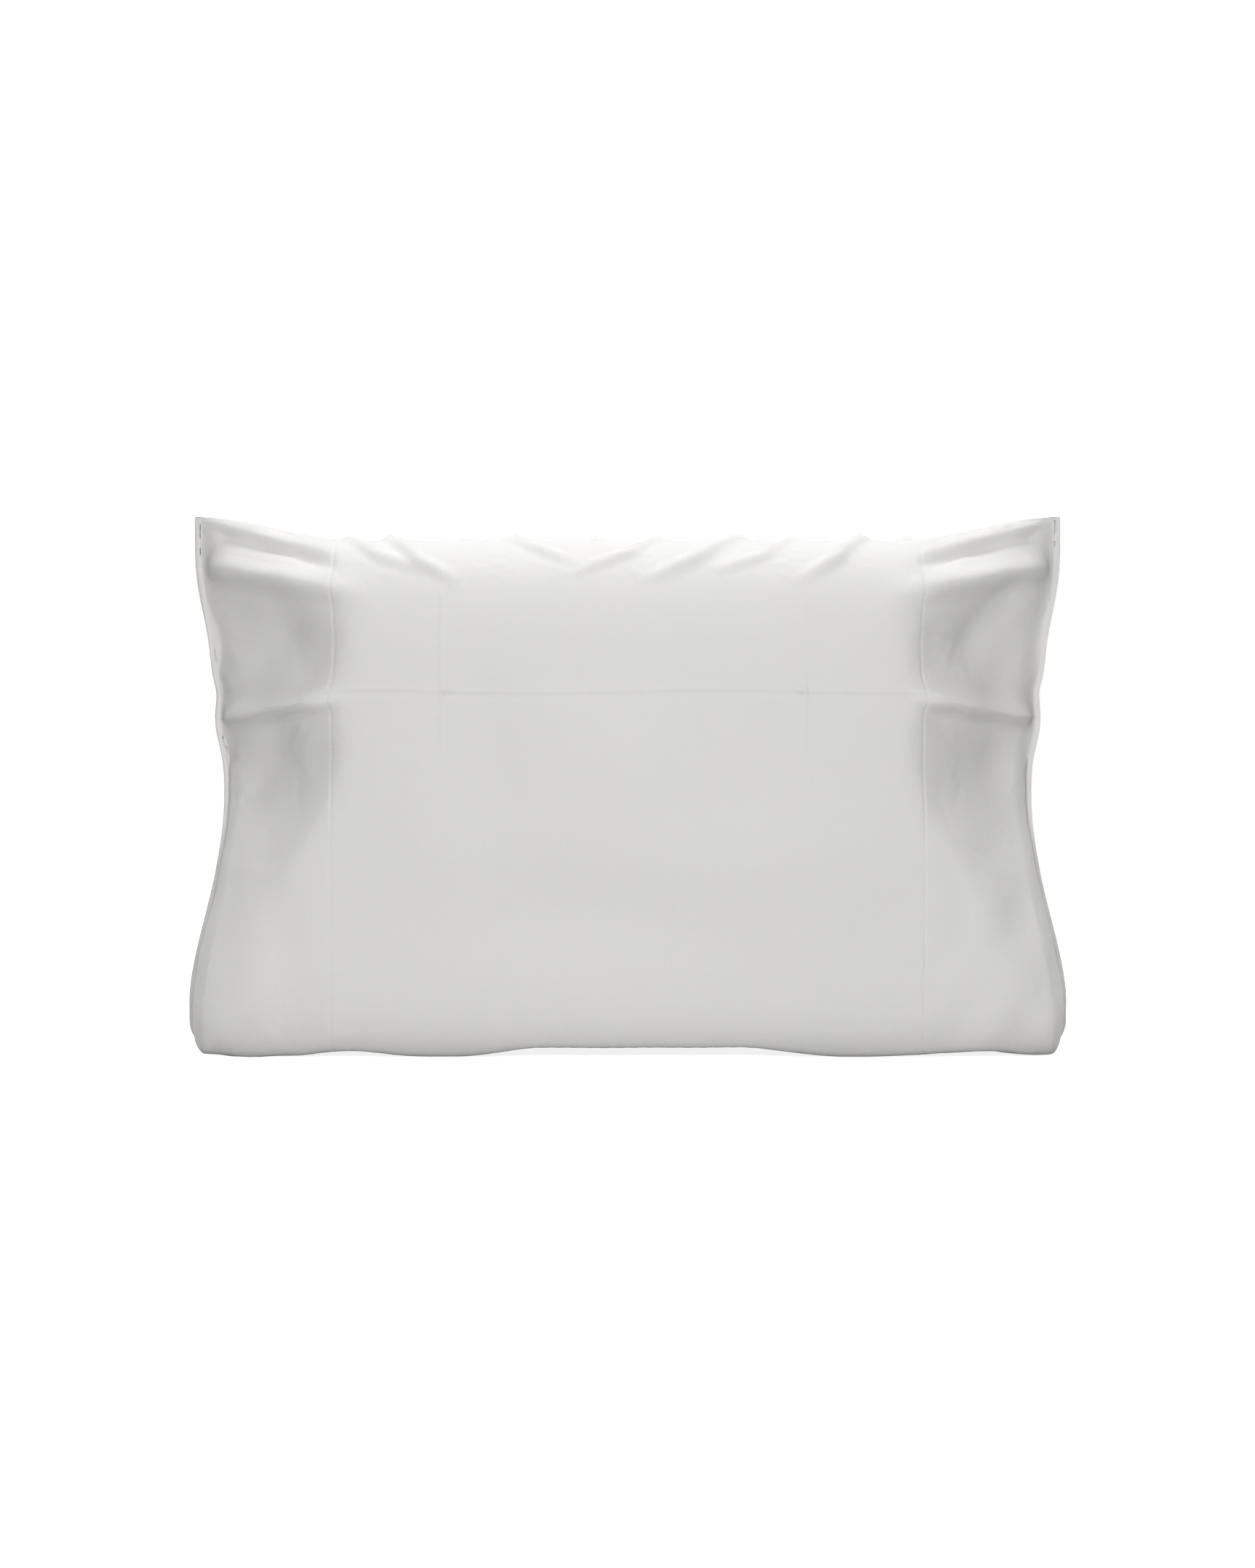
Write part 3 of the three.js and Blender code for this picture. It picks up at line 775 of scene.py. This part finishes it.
lining = {
    "thick": 0.00045,
    "firstInset": 0.0007,       # outer face of the case to the hem facing
    "secondInset": 0.0014,      # and to the flap
    "fromTop": 0.018,
    "fromFoot": 0.035,
}
liningRise = (footRise + lining["fromFoot"], topRise - lining["fromTop"])
for side in ("front", "back"):
    for end, sign in (("left", -1), ("right", 1)):
        span = sorted((sign * hemLine, sign * (endReach - 0.0045)))
        liningPiece(f"{end}HemFacing{side.capitalize()}", f"{end}_hem_facing_{side}", side, span,
                    liningRise, lining["firstInset"], lining["thick"], flat=(hemDeep, cloth["flatHigh"]))
liningPiece("tuckFlap", "tuck_flap", "front", (endReach - cloth["flapReach"], endReach - 0.011),
            liningRise, lining["secondInset"], lining["thick"], flat=(cloth["flapReach"], cloth["flatHigh"]))
print("turned in the hems and the flap")

# the seams' spare cloth inside the case
allowance = {"wide": 0.010, "thick": 0.0008, "setback": 0.0036, "wave": 0.0003}


def hangingStrip(name, node, outerLine, innerLine, material, slot, thick, wave, flat, rows=5):
    # a narrow strip in the plane of the seams, from an outer line of (x, z) to an inner one
    share = np.linspace(0, 1, rows)[:, None, None]
    flatPoints = innerLine[None] * (1 - share) + outerLine[None] * share
    along = np.concatenate([[0], np.cumsum(np.hypot(*np.diff(outerLine, axis=0).T))])
    across, rise = np.meshgrid(along, np.linspace(0, 1, rows) * np.hypot(*(outerLine[0] - innerLine[0])))
    middle = wave * (1 - share[..., 0]) * softNoise(across, rise, 0.030, 21)
    faces = [np.stack([flatPoints[..., 0], middle + offset, flatPoints[..., 1]], -1)
             for offset in (-thick / 2, thick / 2)]
    way = np.cross(faces[0][0, 1] - faces[0][0, 0], faces[0][1, 0] - faces[0][0, 0])
    if way[1] > 0:
        faces.reverse()
    piece = clothPiece(name, *faces, across, rise, material)
    return dress(piece, slot, node, flat=flat)


topLow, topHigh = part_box("top_seam_allowance")
x = np.linspace(topLow.x, topHigh.x, 160)
outerLine = np.stack([x, topSeamAt(x) - allowance["setback"]], -1)
innerLine = outerLine - np.array([0, allowance["wide"]])
hangingStrip("topSeamAllowance", "top_seam_allowance", outerLine, innerLine, caseCotton, "case_cloth",
             allowance["thick"], allowance["wave"], (topHigh.x - topLow.x, allowance["wide"]))
endLow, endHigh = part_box("closed_end_seam_allowance")
z = np.linspace(endHigh.z, endLow.z, 90)
outerLine = np.stack([-halfWidthAt(z) + allowance["setback"], z], -1)
innerLine = outerLine + np.array([allowance["wide"], 0])
hangingStrip("closedEndSeamAllowance", "closed_end_seam_allowance", outerLine, innerLine, caseCotton,
             "case_cloth", allowance["thick"], allowance["wave"], (endHigh.z - endLow.z, allowance["wide"]))
footLow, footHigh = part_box("bottom_seam_allowance")
footSpan = (footRise + 0.0006, footRise + 0.0006 + allowance["wide"])
liningPiece("bottomSeamAllowance", "bottom_seam_allowance", "back", (footLow.x, footHigh.x), footSpan,
            lining["firstInset"], allowance["thick"], flat=(footHigh.x - footLow.x, allowance["wide"]),
            every=1)
print("trimmed the seams")

# blank care labels
for name, node in (("caseLabel", "case_care_label"), ("insertLabel", "insert_care_label")):
    low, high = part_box(node)
    x = np.linspace(low.x, high.x, 12)
    topLine, footLine = np.stack([x, 0 * x + high.z], -1), np.stack([x, 0 * x + low.z], -1)
    hangingStrip(name, node, topLine, footLine, labelSatin, "label_satin", 0.0003, 0.0004,
                 (high.x - low.x, high.z - low.z), rows=24)

# the insert: a smaller copy of the same stuffed shape, in its own ticking
insert = {
    "reach": 0.314,           # cloth from its middle to each end
    "endPower": 7,
    "shrinkUp": 0.936, "shrinkDown": 0.955, "shrinkDeep": 0.94,
    "thick": 0.0005,
    "fibreGap": 0.0013,
    "pipingRadius": 0.0019,
    "pipingOut": 0.0024,
}
insertFaces = {}
for side, node in (("front", "ticking_front_panel"), ("back", "ticking_back_panel")):
    there = case[side]
    columns = np.flatnonzero(np.abs(acrossLine) <= insert["reach"])[::2]
    rows = np.unique(np.append(np.arange(0, len(riseLine), 2), len(riseLine) - 1))
    pick = np.ix_(rows, columns)
    points = there["folded"][pick].copy()
    share = np.abs(there["across"][pick]) / np.abs(acrossLine[columns]).max()
    belly = caseFall["bellyHigh"]
    shrink = np.where(points[..., 2] > belly, insert["shrinkUp"], insert["shrinkDown"])
    points[..., 2] = belly + (points[..., 2] - belly) * shrink
    points[..., 1] *= insert["shrinkDeep"] * np.sqrt(np.maximum(1 - share ** insert["endPower"], 0))
    points[..., 1] = np.minimum(points[..., 1], -caseFall["seamGap"])
    uneven = softNoise(there["across"][pick], there["rise"][pick], 0.06, 31)
    points[..., 1] += 0.0006 * uneven * (points[..., 1] < -0.01)
    inward = -gridNormals(points)
    inner = points + inward * insert["thick"]
    inner[..., 1] = np.minimum(inner[..., 1], -caseFall["seamGap"])
    core = points + inward * insert["fibreGap"]
    core[..., 1] = np.minimum(core[..., 1], -0.0009)
    across, rise = there["across"][pick], there["rise"][pick]
    insertFaces[side] = {"outer": points, "core": core, "across": across, "rise": rise}
    panel = clothPiece(f"ticking{side.capitalize()}", points, inner, across, rise, tickingCotton,
                       mirror=side == "back")
    dress(panel, "ticking_cloth", node, fill=0.8)
front, back = insertFaces["front"], insertFaces["back"]
fibre = clothPiece("fibreFill", front["core"], back["core"] * np.array([1, -1, 1]),
                   front["across"], front["rise"], fillingFibre)
dress(fibre, "fibre_fill", "fibre_fill", fill=0.8)


def outlineTube(name, ring, outward, radius, material, steps=560, sides=10):
    # a closed tube round a ring of (x, z), a little outside it
    ring = np.vstack([ring, ring[:1]])
    along = np.concatenate([[0], np.cumsum(np.hypot(*np.diff(ring, axis=0).T))])
    even = np.linspace(0, along[-1], steps, endpoint=False)
    path = np.stack([np.interp(even, along, ring[:, i]) for i in range(2)], -1)
    for _ in range(4):
        path = (np.roll(path, 1, 0) + 2 * path + np.roll(path, -1, 0)) / 4
    way = np.roll(path, -1, 0) - np.roll(path, 1, 0)
    way /= np.linalg.norm(way, axis=1, keepdims=True)
    out = np.stack([way[:, 1], -way[:, 0]], -1)
    path = path + out * outward
    turn = np.linspace(0, 2 * math.pi, sides, endpoint=False)
    points = np.zeros((steps, sides, 3))
    points[..., 0] = path[:, None, 0] + out[:, None, 0] * radius * np.cos(turn)
    points[..., 1] = radius * np.sin(turn)
    points[..., 2] = path[:, None, 1] + out[:, None, 1] * radius * np.cos(turn)
    index = np.arange(steps * sides).reshape(steps, sides)
    nextStep, nextSide = np.roll(index, -1, 0), np.roll(index, -1, 1)
    faces = np.stack([index, nextStep, np.roll(nextStep, -1, 1), nextSide], -1).reshape(-1, 4)
    uv = np.stack(np.meshgrid(np.arange(sides) * 0.012, even * 10), -1)[..., :].reshape(-1, 2)
    return pieceFrom(name, points.reshape(-1, 3), faces, material, uv)


cover = front["outer"]
ring = np.concatenate([cover[0, :], cover[1:, -1], cover[-1, -2::-1], cover[-2:0:-1, 0]])[:, [0, 2]]
piping = outlineTube("tickingPiping", ring, insert["pipingOut"], insert["pipingRadius"], tickingCotton)
dress(piping, "ticking_cloth", "ticking_piping")
print("filled the insert and put it in")

# hem stitches
stitch = {"pitch": 0.0034, "long": 0.0027, "thick": 0.00050, "proud": 0.00002, "seed": 4}


def stitchTree():
    tree = bpy.data.node_groups.new("stitchRow", "GeometryNodeTree")
    face = tree.interface
    face.new_socket("Line", in_out="INPUT", socket_type="NodeSocketGeometry")
    sockets = {}
    kinds = {"Pitch": "Float", "Length": "Float", "Thickness": "Float", "Seed": "Int", "Thread": "Material"}
    for label, kind in kinds.items():
        sockets[label] = face.new_socket(label, in_out="INPUT", socket_type=f"NodeSocket{kind}").identifier
    face.new_socket("Stitches", in_out="OUTPUT", socket_type="NodeSocketGeometry")
    new, link = tree.nodes.new, tree.links.new
    given, made = new("NodeGroupInput"), new("NodeGroupOutput")
    curve = new("GeometryNodeMeshToCurve")
    spaced = new("GeometryNodeResampleCurve")
    spaced.mode = "LENGTH"
    ball = new("GeometryNodeMeshUVSphere")
    ball.inputs["Segments"].default_value = 8
    ball.inputs["Rings"].default_value = 6
    ball.inputs["Radius"].default_value = 0.5
    size = new("ShaderNodeCombineXYZ")
    shaped = new("GeometryNodeTransform")
    tangent = new("GeometryNodeInputTangent")
    turned = new("FunctionNodeAlignRotationToVector")
    turned.axis = "Z"
    vary = new("FunctionNodeRandomValue")
    vary.data_type = "FLOAT"
    vary.inputs[2].default_value = 0.90
    vary.inputs[3].default_value = 1.06
    placed = new("GeometryNodeInstanceOnPoints")
    real = new("GeometryNodeRealizeInstances")
    painted = new("GeometryNodeSetMaterial")
    link(given.outputs["Line"], curve.inputs["Mesh"])
    link(curve.outputs["Curve"], spaced.inputs["Curve"])
    link(given.outputs["Pitch"], spaced.inputs["Length"])
    link(given.outputs["Thickness"], size.inputs["X"])
    link(given.outputs["Thickness"], size.inputs["Y"])
    link(given.outputs["Length"], size.inputs["Z"])
    link(ball.outputs["Mesh"], shaped.inputs["Geometry"])
    link(size.outputs["Vector"], shaped.inputs["Scale"])
    link(tangent.outputs["Tangent"], turned.inputs["Vector"])
    link(given.outputs["Seed"], vary.inputs["Seed"])
    link(spaced.outputs["Curve"], placed.inputs["Points"])
    link(shaped.outputs["Geometry"], placed.inputs["Instance"])
    link(turned.outputs["Rotation"], placed.inputs["Rotation"])
    link(vary.outputs[1], placed.inputs["Scale"])
    link(placed.outputs["Instances"], real.inputs["Geometry"])
    link(real.outputs["Geometry"], painted.inputs["Geometry"])
    link(given.outputs["Thread"], painted.inputs["Material"])
    link(painted.outputs["Geometry"], made.inputs["Stitches"])
    return tree, sockets


def stitchRow(name, node, side, sign, tree, sockets):
    there = case[side]
    column = int(np.argmin(np.abs(acrossLine - sign * hemLine)))
    rows = np.flatnonzero((riseLine > footRise + 0.012) & (riseLine < topRise - 0.008))
    points = there["outer"][rows, column] - there["inward"][rows, column] * stitch["proud"]
    if side == "back":
        points = points * np.array([1, -1, 1])
    line = bpy.data.meshes.new(name + "Line")
    line.from_pydata(points.tolist(), [(i, i + 1) for i in range(len(points) - 1)], [])
    holder = bpy.data.objects.new(name + "Line", line)
    bpy.context.scene.collection.objects.link(holder)
    sewing = holder.modifiers.new("stitches", "NODES")
    sewing.node_group = tree
    given = {"Pitch": stitch["pitch"], "Length": stitch["long"], "Thickness": stitch["thick"],
             "Seed": stitch["seed"], "Thread": sewingThread}
    for label, value in given.items():
        sewing[sockets[label]] = value
    bpy.context.view_layer.update()
    mesh = bpy.data.meshes.new_from_object(holder.evaluated_get(bpy.context.evaluated_depsgraph_get()))
    bpy.data.objects.remove(holder)
    mesh.name = name
    piece = bpy.data.objects.new(name, mesh)
    bpy.context.scene.collection.objects.link(piece)
    if not mesh.materials:
        mesh.materials.append(sewingThread)
    return dress(piece, "sewing_thread", node)


tree, sockets = stitchTree()
for side in ("front", "back"):
    for end, sign in (("left", -1), ("right", 1)):
        row = stitchRow(f"{end}HemStitching{side.capitalize()}", f"{end}_hem_stitching_{side}",
                        side, sign, tree, sockets)
print("stitched the hems", len(row.data.polygons), "faces a row")


# studio

studio = {
    "lens": 82.8,
    "distance": 3.0,
    "elevation": 1.4,           # degrees
    "aimHigh": 0.2215,
    "frontPower": 17.5,
    "topPower": 50.0,
    "highPower": 7.0,
    "rimPower": 10.0,
    "airLight": 0.04,
    "floorGlow": 0.86,          # keeps the floor white, but for the shadow beside the pillow
}


def aim(thing, at):
    thing.rotation_euler = (Vector(at) - thing.location).to_track_quat("-Z", "Y").to_euler()


camera = bpy.data.objects.new("camera", bpy.data.cameras.new("camera"))
bpy.context.scene.collection.objects.link(camera)
camera.data.lens = studio["lens"]
lean = math.radians(studio["elevation"])
camera.location = (0, -studio["distance"] * math.cos(lean),
                   studio["aimHigh"] + studio["distance"] * math.sin(lean))
aim(camera, (0, 0, studio["aimHigh"]))
bpy.context.scene.camera = camera


def softbox(name, at, target, size, power):
    lamp = bpy.data.lights.new(name, "AREA")
    lamp.shape = "RECTANGLE"
    lamp.size, lamp.size_y = size
    lamp.energy = power
    holder = bpy.data.objects.new(name, lamp)
    bpy.context.scene.collection.objects.link(holder)
    holder.location = at
    aim(holder, target)
    return holder


softbox("frontSoftbox", (0, -1.65, 0.62), (0, 0, 0.2), (0.8, 0.34), studio["frontPower"])
for side in (-1, 1):
    softbox("rimSoftbox", (side * 1.5, 0.95, 0.5), (0, 0, 0.2), (0.8, 1.0), studio["rimPower"])
softbox("topSoftbox", (0, 0.70, 2.2), (0, 0, 0.1), (2.6, 1.5), studio["topPower"])
softbox("highSoftbox", (0, -0.9, 2.0), (0, 0, 0.2), (1.8, 0.8), studio["highPower"])

world = bpy.data.worlds.new("studioAir")
bpy.context.scene.world = world
world.use_nodes = True
air = world.node_tree
air.nodes.clear()
airOut = air.nodes.new("ShaderNodeOutputWorld")
seen = air.nodes.new("ShaderNodeBackground")
seen.inputs["Strength"].default_value = 1.0
felt = air.nodes.new("ShaderNodeBackground")
felt.inputs["Strength"].default_value = studio["airLight"]
choose = air.nodes.new("ShaderNodeMixShader")
path = air.nodes.new("ShaderNodeLightPath")
air.links.new(path.outputs["Is Camera Ray"], choose.inputs["Fac"])
air.links.new(felt.outputs["Background"], choose.inputs[1])
air.links.new(seen.outputs["Background"], choose.inputs[2])
air.links.new(choose.outputs["Shader"], airOut.inputs["Surface"])
for node in (seen, felt):
    node.inputs["Color"].default_value = (1, 1, 1, 1)

floorMesh = bpy.data.meshes.new("studioFloor")
floorMesh.from_pydata([(-9, -9, 0), (9, -9, 0), (9, 9, 0), (-9, 9, 0)], [], [(0, 1, 2, 3)])
floor = bpy.data.objects.new("studioFloor", floorMesh)
bpy.context.scene.collection.objects.link(floor)
floorPaint = bpy.data.materials.new("floorPaint")
floorPaint.use_nodes = True
paint = floorPaint.node_tree
paint.nodes.clear()
paintOut = paint.nodes.new("ShaderNodeOutputMaterial")
lit = paint.nodes.new("ShaderNodeBsdfDiffuse")
lit.inputs["Color"].default_value = (0.9, 0.9, 0.9, 1)
bounce = paint.nodes.new("ShaderNodeBsdfDiffuse")
squeezed = paint.nodes.new("ShaderNodeVectorMath")
squeezed.operation = "MULTIPLY"
squeezed.inputs[1].default_value = (0.4, 1, 1)
close = paint.nodes.new("ShaderNodeVectorMath")
close.operation = "LENGTH"
dulled = paint.nodes.new("ShaderNodeMapRange")
for socket, value in (("From Min", 0.16), ("From Max", 0.45), ("To Min", 0.60), ("To Max", 0.24)):
    dulled.inputs[socket].default_value = value
glow = paint.nodes.new("ShaderNodeEmission")
place = paint.nodes.new("ShaderNodeTexCoord")
far = paint.nodes.new("ShaderNodeVectorMath")
far.operation = "LENGTH"
rising = paint.nodes.new("ShaderNodeMapRange")
glowRange = {"From Min": 0.5, "From Max": 2.2, "To Min": studio["floorGlow"], "To Max": 1.05}
for socket, value in glowRange.items():
    rising.inputs[socket].default_value = value
both = paint.nodes.new("ShaderNodeAddShader")
pick = paint.nodes.new("ShaderNodeMixShader")
seenBy = paint.nodes.new("ShaderNodeLightPath")
paint.links.new(place.outputs["Object"], far.inputs[0])
paint.links.new(far.outputs["Value"], rising.inputs["Value"])
paint.links.new(rising.outputs["Result"], glow.inputs["Strength"])
paint.links.new(lit.outputs["BSDF"], both.inputs[0])
paint.links.new(glow.outputs["Emission"], both.inputs[1])
paint.links.new(seenBy.outputs["Is Camera Ray"], pick.inputs["Fac"])
paint.links.new(place.outputs["Object"], squeezed.inputs[0])
paint.links.new(squeezed.outputs["Vector"], close.inputs[0])
paint.links.new(close.outputs["Value"], dulled.inputs["Value"])
paint.links.new(dulled.outputs["Result"], bounce.inputs["Color"])
paint.links.new(bounce.outputs["BSDF"], pick.inputs[1])
paint.links.new(both.outputs["Shader"], pick.inputs[2])
paint.links.new(pick.outputs["Shader"], paintOut.inputs["Surface"])
floorMesh.materials.append(floorPaint)

scene = bpy.context.scene
scene.view_settings.view_transform = "Standard"
scene.view_settings.look = "None"
scene.view_settings.exposure = 0
scene.view_settings.gamma = 1
